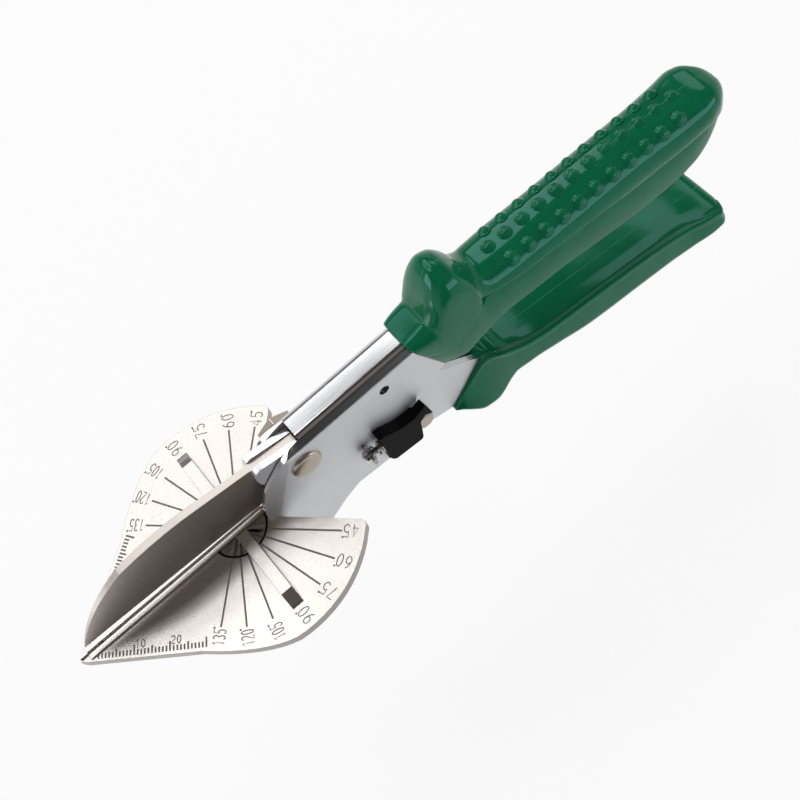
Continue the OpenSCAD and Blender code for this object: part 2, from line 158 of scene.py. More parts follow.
# %% Sweep
TABLE_DROP = 0.06
TABLE_REACH = 3.0
SWEEP_BEND = 0.6
WALL_TOP = 1.2
SWEEP_SIDES = 64
sweep_profile = [(r, 0.0) for r in (0.5, 1.5, TABLE_REACH)]
sweep_profile += [(TABLE_REACH + SWEEP_BEND * math.sin(a), SWEEP_BEND - SWEEP_BEND * math.cos(a))
                  for a in np.radians(range(15, 91, 15))]
sweep_profile += [(TABLE_REACH + SWEEP_BEND, WALL_TOP)]
sweep = bmesh.new()
sweep_turns = np.linspace(0, 2 * math.pi, SWEEP_SIDES, endpoint=False)
rings = [[sweep.verts.new((r * math.cos(a), r * math.sin(a), z - TABLE_DROP)) for a in sweep_turns]
         for r, z in sweep_profile]
sweep.faces.new(rings[0])
for inner, outer in zip(rings, rings[1:]):
    for k in range(SWEEP_SIDES):
        j = (k + 1) % SWEEP_SIDES
        sweep.faces.new((inner[k], outer[k], outer[j], inner[j]))
for face in sweep.faces:
    face.smooth = True
table = keep_mesh("table", sweep)
print("sweep of", len(table.data.polygons), "faces")

# %% Table paint
CAMERA_WHITE = 0.86
MIRRORED_WHITE = 0.26
pale = bpy.data.materials.new("pale_table_paint")
pale.use_nodes = True
tree = pale.node_tree
tree.nodes.clear()
rays = add_node(tree, "ShaderNodeLightPath")
seen = add_node(tree, "ShaderNodeMath",
                {0: rays.outputs["Is Camera Ray"], 1: rays.outputs["Is Transmission Ray"]},
                operation="MAXIMUM")
mirrored = add_node(tree, "ShaderNodeMath", {0: rays.outputs["Is Glossy Ray"], 1: MIRRORED_WHITE},
                    operation="MULTIPLY")
share = add_node(tree, "ShaderNodeMath",
                 {0: seen.outputs[0], 1: CAMERA_WHITE, 2: mirrored.outputs[0]},
                 operation="MULTIPLY_ADD")
lit = add_node(tree, "ShaderNodeBsdfDiffuse", {"Color": hex_colour("#F2F2F2")})
white = add_node(tree, "ShaderNodeEmission", {"Color": hex_colour("#FFFFFF"), "Strength": 1.0})
both = add_node(tree, "ShaderNodeMixShader",
                {0: share.outputs[0], 1: lit.outputs[0], 2: white.outputs[0]})
add_node(tree, "ShaderNodeOutputMaterial", {"Surface": both.outputs[0]})
table.data.materials.append(pale)
print(pale.name)

# %% [markdown]
# The room is dark grey with one paler band on the side the camera looks from, which the tool's flat
# sides mirror as a soft sheen. An image of a studio could light the room too, but a colour ramp over
# the world's direction is easier to read. Matt surfaces get a plain white fill instead.

# %% Room
FILL_LIGHT = 0.4
BAND_START = 0.13
BAND_END = 0.36
BAND_BRIGHT = (0.2, 0.27)
room = bpy.data.worlds.new("room")
bpy.context.scene.world = room
room.use_nodes = True
tree = room.node_tree
tree.nodes.clear()
rays = add_node(tree, "ShaderNodeLightPath")
way = add_node(tree, "ShaderNodeTexCoord").outputs["Generated"]
depth = add_node(tree, "ShaderNodeMapRange",
                 {0: add_node(tree, "ShaderNodeSeparateXYZ", {0: way}).outputs["Y"], 1: -1.0, 2: 1.0})
ceiling = add_node(tree, "ShaderNodeValToRGB", {0: depth.outputs[0]})
ceiling.color_ramp.elements[0].position = BAND_START
ceiling.color_ramp.elements[1].position = BAND_END
for element in ceiling.color_ramp.elements:
    element.color = hex_colour("#3A3735")
for position in BAND_BRIGHT:
    ceiling.color_ramp.elements.new(position).color = hex_colour("#7E726C")
dim = add_node(tree, "ShaderNodeBackground", {"Color": ceiling.outputs[0], "Strength": 1.0})
fill = add_node(tree, "ShaderNodeBackground", {"Color": hex_colour("#FFFFFF"), "Strength": FILL_LIGHT})
both = add_node(tree, "ShaderNodeMixShader",
                {0: rays.outputs["Is Diffuse Ray"], 1: dim.outputs[0], 2: fill.outputs[0]})
add_node(tree, "ShaderNodeOutputWorld", {"Surface": both.outputs[0]})
print(room.name, "lit")

# %% [markdown]
# Four softboxes hang above and behind the tool, where the anvil's satin top, the channel's web and
# the grips mirror them towards the camera. One on the left opens the shadows, and one in front on the
# right lights the side plates. One big lamp would be simpler, but then every surface would be white.

# %% Lamps
def softbox(name, place, target, width, depth, watts):
    lamp = bpy.data.lights.new(name, "AREA")
    lamp.shape = "RECTANGLE"
    lamp.size = width
    lamp.size_y = depth
    lamp.energy = watts
    holder = add_object(name, lamp)
    holder.location = place
    holder.visible_camera = False
    holder.rotation_mode = "QUATERNION"
    holder.rotation_quaternion = (Vector(target) - Vector(place)).to_track_quat("-Z", "Y")


softbox("rear_left_softbox", (-0.415, 0.649, 0.789), (-0.415, 0.0, 0.055), 1.17, 0.372, 2.4)
softbox("rear_right_softbox", (0.345, 0.629, 0.832), (0.345, 0.0, 0.055), 0.35, 0.69, 2.2)
softbox("far_right_softbox", (0.955, 0.626, 0.729), (0.955, 0.0, 0.015), 0.59, 0.292, 0.85)
softbox("top_strip", (-0.3, 0.342, 0.986), (-0.3, 0.0, 0.056), 0.66, 0.212, 1.4)
softbox("left_softbox", (-0.95, 0.29, 0.24), (0.07, 0.0, 0.06), 0.4, 0.4, 1.6)
softbox("front_right_softbox", (0.78, -0.9, 0.275), (0.78, 0.0, 0.05), 1.24, 0.39, 3.6)

print("six softboxes")

# %% [markdown]
# Photographers hang a black cloth, called a flag, where polished metal should go dark. This one
# stands in front of the channel and gives its bend a dark band. A darker paint would spoil the metal
# from other sides, so the flag is used, and only reflections see it.

# %% Black flag
FLAG_LEFT = -0.02
FLAG_RIGHT = 0.085
FLAG_FRONT = -0.09
FLAG_BOTTOM = 0.025
FLAG_TOP = 0.14
flag_mesh = bpy.data.meshes.new("black_flag")
flag_corners = [(FLAG_LEFT, FLAG_BOTTOM), (FLAG_RIGHT, FLAG_BOTTOM),
                (FLAG_RIGHT, FLAG_TOP), (FLAG_LEFT, FLAG_TOP)]
flag_mesh.from_pydata([(x, FLAG_FRONT, z) for x, z in flag_corners], [], [(0, 1, 2, 3)])
flag = add_object("black_flag", flag_mesh)
flag.visible_camera = False
flag.visible_diffuse = False
flag.visible_shadow = False
cloth, tree, shader, place = new_finish("black_flag_cloth")
weave = add_node(tree, "ShaderNodeTexNoise", {"Vector": place, "Scale": 1 / (1.5 * MM), "Detail": 2.0})
shade = add_node(tree, "ShaderNodeValToRGB", {0: weave.outputs[0]})
shade.color_ramp.elements[0].color = hex_colour("#0D0D0D")
shade.color_ramp.elements[1].color = hex_colour("#1D1D1D")
tree.links.new(shade.outputs[0], shader.inputs["Base Color"])
shader.inputs["Roughness"].default_value = 0.9
flag_mesh.materials.append(cloth)
print(flag.name, "of", cloth.name)

# %% [markdown]
# The anvil is a zinc casting, blasted with fine beads and plated with nickel. Blasting leaves
# pits of a few hundredths of a millimetre, far below a pixel, so the grain is drawn at 0.35 mm to
# show. The plating keeps it bright: it mirrors the blade as a soft dark cloud. The sides of the
# casting get a darker colour than its top, which is painted shade, and the round pocket has its own
# tone, so the finish looks at which way a surface faces and at where it lies. Painting these areas by
# hand would work too, but a rule holds if the casting's mesh changes.

# %% Satin nickel casting
POCKET_RADIUS = 8.0
POCKET_STEP = 0.3
POCKET_ROUGH = 0.34


def satin_nickel():
    finish, tree, shader, place = new_finish("satin_nickel_blasted_zinc")
    grain = add_node(tree, "ShaderNodeTexNoise",
                     {"Vector": place, "Scale": 1 / (0.35 * MM), "Detail": 2.0})
    cloud = add_node(tree, "ShaderNodeTexNoise", {"Vector": place, "Scale": 1 / (9 * MM), "Detail": 3.0})
    rough = add_node(tree, "ShaderNodeMapRange", {0: cloud.outputs[0], 3: 0.24, 4: 0.34})
    tint = add_node(tree, "ShaderNodeValToRGB", {0: grain.outputs[0]})
    tint.color_ramp.elements[0].position = 0.3
    tint.color_ramp.elements[0].color = hex_colour("#CFCAC5")
    tint.color_ramp.elements[1].position = 0.7
    tint.color_ramp.elements[1].color = hex_colour("#DEDAD6")
    bump = add_node(tree, "ShaderNodeBump",
                    {"Height": grain.outputs[0], "Strength": 0.4, "Distance": 0.05 * MM})
    facing = add_node(tree, "ShaderNodeNewGeometry").outputs["True Normal"]
    up = add_node(tree, "ShaderNodeSeparateXYZ", {0: facing}).outputs["Z"]
    top = add_node(tree, "ShaderNodeMapRange", {0: up, 1: 0.2, 2: 0.6})
    # Painted shade: faces turned away from the top get the darker #B2ADA8 instead of the top's tint.
    side_painted_shade = add_node(tree, "ShaderNodeMix",
                     {0: top.outputs[0], 6: hex_colour("#B2ADA8"), 7: tint.outputs[0]},
                     data_type="RGBA")
    spot = add_node(tree, "ShaderNodeSeparateXYZ", {0: place})
    flat = add_node(tree, "ShaderNodeCombineXYZ", {0: spot.outputs["X"], 1: spot.outputs["Y"]})
    reach = add_node(tree, "ShaderNodeVectorMath", {0: flat.outputs[0]}, operation="LENGTH")
    inside = add_node(tree, "ShaderNodeMath", {0: reach.outputs["Value"], 1: POCKET_RADIUS * MM},
                      operation="LESS_THAN")
    below = add_node(tree, "ShaderNodeMath",
                     {0: spot.outputs["Z"], 1: (ANVIL_TOP - POCKET_STEP) * MM},
                     operation="LESS_THAN")
    pocket = add_node(tree, "ShaderNodeMath", {0: inside.outputs[0], 1: below.outputs[0]},
                      operation="MULTIPLY")
    tone = add_node(tree, "ShaderNodeMix",
                    {0: pocket.outputs[0], 6: side_painted_shade.outputs[2], 7: hex_colour("#D0CBC6")},
                    data_type="RGBA")
    gloss = add_node(tree, "ShaderNodeMix",
                     {0: pocket.outputs[0], 2: rough.outputs[0], 3: POCKET_ROUGH})
    tree.links.new(tone.outputs[2], shader.inputs["Base Color"])
    tree.links.new(gloss.outputs[0], shader.inputs["Roughness"])
    tree.links.new(bump.outputs[0], shader.inputs["Normal"])
    shader.inputs["Metallic"].default_value = 1.0
    return finish


finish_satin = satin_nickel()
print(finish_satin.name)

# %% [markdown]
# The two levers are pressed steel, polished and chromed. Polishing along the sheet leaves faint
# lines, so a noise is stretched along the levers and moves the roughness a little. The flat side
# plates are duller than the polished bends. Two materials could say that, but then a hard border
# would show along the bend, so one finish grows rougher where a surface faces sideways.

# %% Chromed lever steel
BEND_ROUGH = 0.12
PLATE_ROUGH = 0.52


def chromed_steel():
    finish, tree, shader, place = new_finish("chromed_polished_steel")
    along = add_node(tree, "ShaderNodeMapping",
                     {"Vector": place, "Scale": (1 / (14 * MM), 1 / (0.5 * MM), 1 / (0.5 * MM))})
    lines = add_node(tree, "ShaderNodeTexNoise",
                     {"Vector": along.outputs[0], "Scale": 1.0, "Detail": 3.0})
    facing = add_node(tree, "ShaderNodeNewGeometry").outputs["True Normal"]
    across = add_node(tree, "ShaderNodeSeparateXYZ", {0: facing}).outputs["Y"]
    aside = add_node(tree, "ShaderNodeMath", {0: across}, operation="ABSOLUTE")
    plate = add_node(tree, "ShaderNodeMapRange",
                     {0: aside.outputs[0], 1: 0.9, 2: 0.99, 3: BEND_ROUGH, 4: PLATE_ROUGH})
    streak = add_node(tree, "ShaderNodeMapRange", {0: lines.outputs[0], 3: 0.0, 4: 0.1})
    rough = add_node(tree, "ShaderNodeMath", {0: plate.outputs[0], 1: streak.outputs[0]},
                     operation="ADD")
    bump = add_node(tree, "ShaderNodeBump",
                    {"Height": lines.outputs[0], "Strength": 0.05, "Distance": 0.02 * MM})
    tree.links.new(rough.outputs[0], shader.inputs["Roughness"])
    tree.links.new(bump.outputs[0], shader.inputs["Normal"])
    shader.inputs["Base Color"].default_value = hex_colour("#E4E5E8")
    shader.inputs["Metallic"].default_value = 1.0
    return finish


finish_chrome = chromed_steel()
print(finish_chrome.name)

# %% [markdown]
# The blade is hardened steel, ground on a wheel that leaves fine lines across it. It looks dark only
# because its flat face mirrors the dim room, so its own colour stays that of bare steel. Its back,
# which faces up, has no such lines, so the finish looks at which way the surface faces. A dark paint
# would match one picture and fail from every other side.

# %% Ground blade steel
def blade_steel():
    finish, tree, shader, place = new_finish("ground_blade_steel")
    across = add_node(tree, "ShaderNodeMapping",
                      {"Vector": place, "Scale": (1 / (0.4 * MM), 1 / (4 * MM), 1 / (9 * MM))})
    lines = add_node(tree, "ShaderNodeTexNoise",
                     {"Vector": across.outputs[0], "Scale": 1.0, "Detail": 2.0})
    facing = add_node(tree, "ShaderNodeNewGeometry").outputs["True Normal"]
    up = add_node(tree, "ShaderNodeSeparateXYZ", {0: facing}).outputs["Z"]
    back = add_node(tree, "ShaderNodeMapRange", {0: up, 1: 0.6, 2: 0.8})
    face = add_node(tree, "ShaderNodeValToRGB", {0: lines.outputs[0]})
    face.color_ramp.elements[0].position = 0.3
    face.color_ramp.elements[0].color = hex_colour("#CBC3BF")
    face.color_ramp.elements[1].position = 0.7
    face.color_ramp.elements[1].color = hex_colour("#D7CFCB")
    tone = add_node(tree, "ShaderNodeMix",
                    {0: back.outputs[0], 6: face.outputs[0], 7: hex_colour("#C9C2BC")},
                    data_type="RGBA")
    bump = add_node(tree, "ShaderNodeBump",
                    {"Height": lines.outputs[0], "Strength": 0.05, "Distance": 0.02 * MM})
    tree.links.new(tone.outputs[2], shader.inputs["Base Color"])
    tree.links.new(bump.outputs[0], shader.inputs["Normal"])
    shader.inputs["Metallic"].default_value = 1.0
    shader.inputs["Roughness"].default_value = 0.4
    return finish


finish_blade = blade_steel()
print(finish_blade.name)

# %% [markdown]
# Bolt, nut, rivets and stud are turned steel with a thin nickel plate, warmer than the chrome.
# The turning leaves fine rings; at this size a soft noise in the roughness stands for them.

# %% Nickel fasteners, zinc and spring steel
def plated_steel(name, colour, low, high, grain_mm):
    finish, tree, shader, place = new_finish(name)
    grain = add_node(tree, "ShaderNodeTexNoise",
                     {"Vector": place, "Scale": 1 / (grain_mm * MM), "Detail": 3.0})
    rough = add_node(tree, "ShaderNodeMapRange", {0: grain.outputs[0], 3: low, 4: high})
    bump = add_node(tree, "ShaderNodeBump",
                    {"Height": grain.outputs[0], "Strength": 0.08, "Distance": 0.03 * MM})
    tree.links.new(rough.outputs[0], shader.inputs["Roughness"])
    tree.links.new(bump.outputs[0], shader.inputs["Normal"])
    shader.inputs["Base Color"].default_value = hex_colour(colour)
    shader.inputs["Metallic"].default_value = 1.0
    return finish


finish_fastener = plated_steel("nickel_plated_turned_steel", "#C6BBAF", 0.24, 0.36, 0.5)
finish_zinc = plated_steel("zinc_plated_steel", "#A9A9A6", 0.2, 0.34, 0.6)
finish_spring = plated_steel("drawn_spring_steel", "#A8A6A2", 0.16, 0.26, 0.4)
print(finish_fastener.name, finish_zinc.name, finish_spring.name)

# %% [markdown]
# The grips are soft PVC moulded over the levers. The mould is polished, so the green is glossy, with
# a slow waviness of a few millimetres where the plastic shrank. One plain colour would do at arm's
# length, but a small change of tone along the waves keeps the broad faces from looking like paint.
# The hair of plastic along the mould's joint gets a paler green, a painted highlight along its crest.

# %% Glossy green PVC
def green_pvc(name, low, high):
    finish, tree, shader, place = new_finish(name)
    wave = add_node(tree, "ShaderNodeTexNoise", {"Vector": place, "Scale": 1 / (6 * MM), "Detail": 1.0})
    fine = add_node(tree, "ShaderNodeTexNoise", {"Vector": place, "Scale": 1 / (0.6 * MM), "Detail": 2.0})
    tint = add_node(tree, "ShaderNodeValToRGB", {0: wave.outputs[0]})
    tint.color_ramp.elements[0].position = 0.3
    tint.color_ramp.elements[0].color = hex_colour(low)
    tint.color_ramp.elements[1].position = 0.7
    tint.color_ramp.elements[1].color = hex_colour(high)
    rough = add_node(tree, "ShaderNodeMapRange", {0: fine.outputs[0], 3: 0.07, 4: 0.13})
    bump = add_node(tree, "ShaderNodeBump",
                    {"Height": wave.outputs[0], "Strength": 0.12, "Distance": 0.2 * MM})
    tree.links.new(tint.outputs[0], shader.inputs["Base Color"])
    tree.links.new(rough.outputs[0], shader.inputs["Roughness"])
    tree.links.new(bump.outputs[0], shader.inputs["Normal"])
    shader.inputs["IOR"].default_value = 1.53
    shader.inputs["Specular IOR Level"].default_value = 0.36
    shader.inputs["Specular Tint"].default_value = hex_colour("#B2F0FF")
    return finish


finish_green = green_pvc("moulded_green_pvc", "#0B6240", "#0C6844")
# The parting flash is a paler green: a painted highlight along the line's crest.
finish_flash_painted_highlight = green_pvc("green_pvc_parting_flash_painted_highlight", "#2A8F62", "#33996B")
print(finish_green.name, finish_flash_painted_highlight.name)

# %% [markdown]
# The catch is moulded from black nylon in a mould with a fine spark-eroded grain, which makes it
# matt. The lines and numbers on the anvil are etched and darkened, so they are a dull grey brown. Both
# could be flat colours, but a fine grain breaks up their edges as it does on the real surface.

# %% Black nylon and etched marks
def black_nylon():
    finish, tree, shader, place = new_finish("moulded_black_nylon")
    grain = add_node(tree, "ShaderNodeTexNoise", {"Vector": place, "Scale": 1 / (0.3 * MM), "Detail": 2.0})
    rough = add_node(tree, "ShaderNodeMapRange", {0: grain.outputs[0], 3: 0.38, 4: 0.55})
    bump = add_node(tree, "ShaderNodeBump",
                    {"Height": grain.outputs[0], "Strength": 0.15, "Distance": 0.03 * MM})
    tree.links.new(rough.outputs[0], shader.inputs["Roughness"])
    tree.links.new(bump.outputs[0], shader.inputs["Normal"])
    shader.inputs["Base Color"].default_value = hex_colour("#0D0D0E")
    shader.inputs["Specular IOR Level"].default_value = 0.06
    return finish


def etched_mark():
    finish, tree, shader, place = new_finish("etched_dark_line")
    grain = add_node(tree, "ShaderNodeTexNoise", {"Vector": place, "Scale": 1 / (0.4 * MM), "Detail": 2.0})
    tint = add_node(tree, "ShaderNodeValToRGB", {0: grain.outputs[0]})
    tint.color_ramp.elements[0].color = hex_colour("#5E5A57")
    tint.color_ramp.elements[1].color = hex_colour("#8A8581")
    tree.links.new(tint.outputs[0], shader.inputs["Base Color"])
    shader.inputs["Roughness"].default_value = 0.55
    return finish


finish_black = black_nylon()
finish_mark = etched_mark()
print(finish_black.name, finish_mark.name)

# %% [markdown]
# Real edges are never knife sharp. Each could be filleted in its own mesh, but the solids have to keep
# theirs, so a row of modifiers rounds the edges that catch light. The split points are welded first,
# because a bevel needs shared edges. Flat areas made of thin triangles are joined into whole faces,
# or the bevel would leave dark spikes on them. Last, weighted normals keep the flat faces flat.

# %% Finishes and soft edges on the solids
node_finish = {
    "anvil_plate": finish_satin, "anvil_rivets": finish_fastener, "outer_channel": finish_chrome,
    "stop_pin": finish_zinc, "pivot_bolt": finish_fastener, "pivot_washer": finish_zinc,
    "pivot_nut": finish_fastener, "inner_lever": finish_chrome, "blade": finish_blade,
    "blade_rivets": finish_fastener, "catch_stud": finish_fastener, "latch_bracket": finish_zinc,
    "latch_screw": finish_zinc, "latch_spring": finish_spring, "latch_slider": finish_black,
    "return_spring": finish_spring, "spring_cap": finish_zinc, "spring_seat": finish_zinc,
    "upper_grip": finish_green, "lower_grip": finish_green}
edge_mm = {"anvil_plate": 0.25, "outer_channel": 0.5, "inner_lever": 0.4,
           "pivot_nut": 0.2, "pivot_washer": 0.15, "catch_stud": 0.25, "latch_bracket": 0.15,
           "latch_slider": 0.3, "blade": 0.06}
for name, finish in node_finish.items():
    solid = nodes[name]
    solid.data.materials.clear()
    solid.data.materials.append(finish)


WELD_GAP = 1e-6
FLAT_ANGLE = 0.3
EDGE_ANGLE = 30
FLAT_WEIGHT = 90


def soften(piece, width):
    weld = piece.modifiers.new("weld", "WELD")
    weld.merge_threshold = WELD_GAP
    whole = piece.modifiers.new("whole_faces", "DECIMATE")
    whole.decimate_type = "DISSOLVE"
    whole.angle_limit = math.radians(FLAT_ANGLE)
    soft = piece.modifiers.new("soft_edge", "BEVEL")
    soft.width = width * MM
    soft.segments = 2
    soft.limit_method = "ANGLE"
    soft.angle_limit = math.radians(EDGE_ANGLE)
    flat = piece.modifiers.new("flat_faces", "WEIGHTED_NORMAL")
    flat.keep_sharp = True
    flat.weight = FLAT_WEIGHT


for name, width in edge_mm.items():
    soften(nodes[name], width)
print("finished", len(node_finish), "nodes,", len(edge_mm), "with soft edges")

# %% [markdown]
# The channel was pressed over a former, so its near edge is a broad bend rather than a corner. The
# solid's own mesh is copied, cut along spokes from a line inside the bend, and every point outside
# an ellipse round that line is drawn in to it. A wide bevel would be quicker, but it can't fade out
# towards the front, where the edge stays tight. The polished bend gives the long dark band.

# %% Broad bend along the channel
WEB_FRONT = 27.0
WEB_TOP = 21.3
SLOPE = math.tan(math.radians(1.3))
BEND_WIDE = 4.0
BEND_DEEP = 6.0
BEND_SIDE = -1.5
FADE_START = 21
FADE_LENGTH = 5
bend_line = at(WEB_FRONT, BEND_SIDE, WEB_TOP - BEND_DEEP)
along = Vector((1, 0, SLOPE)).normalized()
channel = bmesh.new()
channel.from_mesh(nodes["outer_channel"].data)
bmesh.ops.transform(channel, matrix=nodes["outer_channel"].matrix_world, verts=channel.verts)
bmesh.ops.remove_doubles(channel, verts=channel.verts, dist=WELD_GAP)
for angle in np.radians(range(3, 90, 6)):
    spoke = Vector((0, -BEND_WIDE * math.cos(angle), BEND_DEEP * math.sin(angle)))
    bmesh.ops.bisect_plane(channel, geom=channel.verts[:] + channel.edges[:] + channel.faces[:],
                           plane_co=bend_line, plane_no=along.cross(spoke).normalized())
for x in range(FADE_START, FADE_START + FADE_LENGTH + 1):
    bmesh.ops.bisect_plane(channel, geom=channel.verts[:] + channel.edges[:] + channel.faces[:],
                           plane_co=at(x, 0, 0), plane_no=(1, 0, 0))
moved = 0
for vert in channel.verts:
    centre = bend_line.z + SLOPE * (vert.co.x - bend_line.x)
    y = (vert.co.y - bend_line.y) / (BEND_WIDE * MM)
    z = (vert.co.z - centre) / (BEND_DEEP * MM)
    share = min(max((vert.co.x / MM - FADE_START) / FADE_LENGTH, 0), 1)
    if y < 0 < z and y * y + z * z > 1 and share > 0:
        size = 1 + share * (math.hypot(y, z) - 1)
        vert.co.y = bend_line.y + y / size * BEND_WIDE * MM
        vert.co.z = centre + z / size * BEND_DEEP * MM
        moved += 1
bent_channel = keep_mesh("bent_channel", channel)
bent_channel.data.materials.append(finish_chrome)
bent_channel.data.shade_smooth()
bent_channel.data.set_sharp_from_angle(angle=math.radians(25))
soften(bent_channel, edge_mm["outer_channel"])
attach(bent_channel, "jaw_lever")
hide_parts("outer_channel")
print("bend drawn in at", moved, "points")

# %% [markdown]
# A grip is a row of cross sections along the lever. Each was measured every few millimetres, which
# is too coarse for a glossy surface, so a curve is run through each column of the table. Slopes
# are limited where a column turns, so the curve never bulges past a measured value.

# %% Smooth rows between measured sections
def smooth_rows(rows, step):
    rows = np.array(rows, float)
    x = rows[:, 0]
    gaps = np.diff(x)
    slopes = np.diff(rows, axis=0) / gaps[:, None]
    bend = np.zeros_like(rows)
    bend[0], bend[-1] = slopes[0], slopes[-1]
    for i in range(1, len(rows) - 1):
        same = slopes[i - 1] * slopes[i] > 0
        harmonic = 2 * slopes[i - 1] * slopes[i] / np.where(same, slopes[i - 1] + slopes[i], 1)
        bend[i] = np.where(same, harmonic, 0)
    made = []
    for i in range(len(rows) - 1):
        count = max(2, int(math.ceil(gaps[i] / step)))
        for t in np.arange(count) / count:
            h = gaps[i]
            made.append((1 + 2 * t) * (1 - t) ** 2 * rows[i] + t * (1 - t) ** 2 * h * bend[i]
                        + t * t * (3 - 2 * t) * rows[i + 1] - t * t * (1 - t) * h * bend[i + 1])
    made.append(rows[-1])
    return np.array(made)


def arc(centre_y, centre_z, radius, start, stop, count):
    angles = np.radians(np.linspace(start, stop, count))
    return [(centre_y + radius * math.cos(a), centre_z + radius * math.sin(a)) for a in angles]


def loft(name, sections):
    mesh = bmesh.new()
    rings = [[mesh.verts.new(at(*p)) for p in ring] for ring in sections]
    for near, far in zip(rings, rings[1:]):
        for i in range(len(near)):
            j = (i + 1) % len(near)
            mesh.faces.new((near[i], near[j], far[j], far[i]))
    mesh.faces.new(rings[0][::-1])
    mesh.faces.new(rings[-1])
    bmesh.ops.recalc_face_normals(mesh, faces=mesh.faces)
    for face in mesh.faces:
        face.smooth = len(face.verts) == 4
    return keep_mesh(name, mesh)


print("loft helpers ready")

# %% [markdown]
# The upper grip: a collar round the channel, a thumb guard, and a long bar that overhangs a skirt.
# It could be sculpted, but then it would drift from the solid, so it is lofted from the solid's own
# table with finer arcs, and the overhang fades out in front of the guard. Each row holds the place
# along the tool, the rise above the channel, the height of the overhang, the lower edge, the extra
# half widths of bar and skirt, and the corner radius. Underneath stays the slot for the lower lever.

# %% Upper grip
OUTER_HALF = 5.5
SLOT_HALF = 3.6
WALL = 2.6
CHANNEL_END = 124
SLOT_START = 62.5
SLOT_END = 139.8
OVERHANG_START = 83.8
OVERHANG_FULL = 85.8
COLLAR_LEAN = 0.42
FOOT_RADIUS = 1.4
THIN = 0.02
upper_table = [
    (61.6, -1.6, 15, 5.8, -1.6, -1.6, 3), (63.5, -1.2, 14, 5.6, -1.1, -1.1, 3.4),
    (66, -0.8, 13, 5.4, -0.6, -0.6, 4), (69.2, -0.2, 12, 5.3, -0.2, -0.2, 4.8),
    (71.2, 3.2, 12, 5.3, 0, 0, 5.6), (73.2, 8.2, 13, 5.4, 0.1, 0.1, 6.6),
    (75.5, 12.1, 14, 5.6, 0.1, 0.1, 7.4), (78, 13.9, 15, 6.1, 0.1, 0.1, 7.8),
    (81, 12.7, 16, 6.9, 0.1, 0.1, 7.6), (84, 8.4, 20, 7.4, 0.1, 0.1, 7.2),
    (85.4, 5.6, 21.6, 7.6, -0.5, 0, 7.2), (86.6, 3.9, 21.8, 7.8, -0.3, -0.1, 6.8),
    (88.6, 2.2, 21.6, 8, 0.2, -0.1, 6.9), (90, 1.9, 21.3, 8, 0.5, -0.2, 7),
    (98, 1.5, 20.1, 7.2, 0.9, -0.3, 7.2), (108, 1.2, 19.4, 6.4, 1, -0.3, 7.8),
    (124, 1, 17.8, 3.9, 1.1, -0.3, 8.6), (138, 0.7, 16.4, 2, 1.1, -0.3, 8.4),
    (148, -0.1, 16.2, 1.6, 1.3, -0.4, 8), (156, -0.5, 16.4, 2.8, 1.5, -0.6, 7.2),
    (161, -0.6, 16.6, 4.6, 1.5, -1.2, 6), (165, -1.4, 16.6, 7.4, 0.6, -2.1, 4.6),
    (168.5, -3.2, 16.4, 10.4, -1.9, -3.4, 3.4), (170.6, -5.3, 16, 12.6, -4.6, -5, 2.2),
    (171.3, -7.4, 15.6, 13.4, -6, -6.3, 1.4)]


def channel_top(x):
    return WEB_TOP + SLOPE * (min(x, CHANNEL_END) - WEB_FRONT)


def ease(x, start, stop):
    t = min(max((x - start) / (stop - start), 0), 1)
    return t * t * (3 - 2 * t)


def upper_section(row):
    x, rise, step, bottom, bar, skirt, corner = row
    level = channel_top(x) + WALL
    top = level + rise
    bar += OUTER_HALF + WALL
    skirt += OUTER_HALF + WALL
    inset = 0.05 + 0.95 * ease(x, OVERHANG_START, OVERHANG_FULL)
    lean = COLLAR_LEAN * (1 - ease(x, 62, 80))
    half = [(0, top), (0.5 * max(bar - corner, THIN), top)]
    end = math.degrees(math.asin(max(0, 1 - (top - step - 1) / corner)))
    lip_y = bar - corner + (corner - inset) * math.cos(math.radians(end))
    lip_z = step + 1 - math.sin(math.radians(end))
    half += arc(bar - corner, top - corner, corner, 90, end, 11)
    half += [(lip_y + inset * math.cos(a), lip_z + math.sin(a))
             for a in np.radians(np.linspace(end - 15, -90, 6))]
    half += [(skirt - 0.3 * inset, lip_z - 1.2), (skirt, lip_z - 1.7)]
    foot = min(FOOT_RADIUS, 0.4 * skirt)
    half += arc(skirt - foot, bottom + foot, foot, 0, -90, 6)
    slot = min(SLOT_HALF, 0.5 * (skirt - foot))
    ceiling = channel_top(x) - 1 if SLOT_START < x < SLOT_END else bottom + THIN
    half += [(slot, bottom), (slot, max(ceiling, bottom + THIN))]
    ring = half + [(-y, z) for y, z in half[:0:-1]]
    return [(x + lean * max(0, level - z), y, z) for y, z in ring]


upper_rows = smooth_rows(upper_table, 0.6)
upper_grip = loft("upper_grip_moulding", [upper_section(r) for r in upper_rows])
upper_grip.data.materials.append(finish_green)
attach(upper_grip, "jaw_lever")
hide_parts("upper_grip")
print("upper grip", len(upper_grip.data.vertices), "points")

# %% [markdown]
# Three staggered rows of domes on the bar keep the thumb from slipping. Bump in the material would
# not change the bar's outline, so they are real. One dome is turned from a profile with a small fillet
# at its foot, and set on the bar along the surface's own direction.

# %% Dome rows
def bar_height(x, y):
    row = [np.interp(x, upper_rows[:, 0], upper_rows[:, k]) for k in range(7)]
    top = channel_top(x) + WALL + row[1]
    flat = OUTER_HALF + WALL + row[4] - row[6]
    beyond = max(abs(y) - flat, 0)
    return top - row[6] + math.sqrt(max(row[6] ** 2 - beyond ** 2, 0))


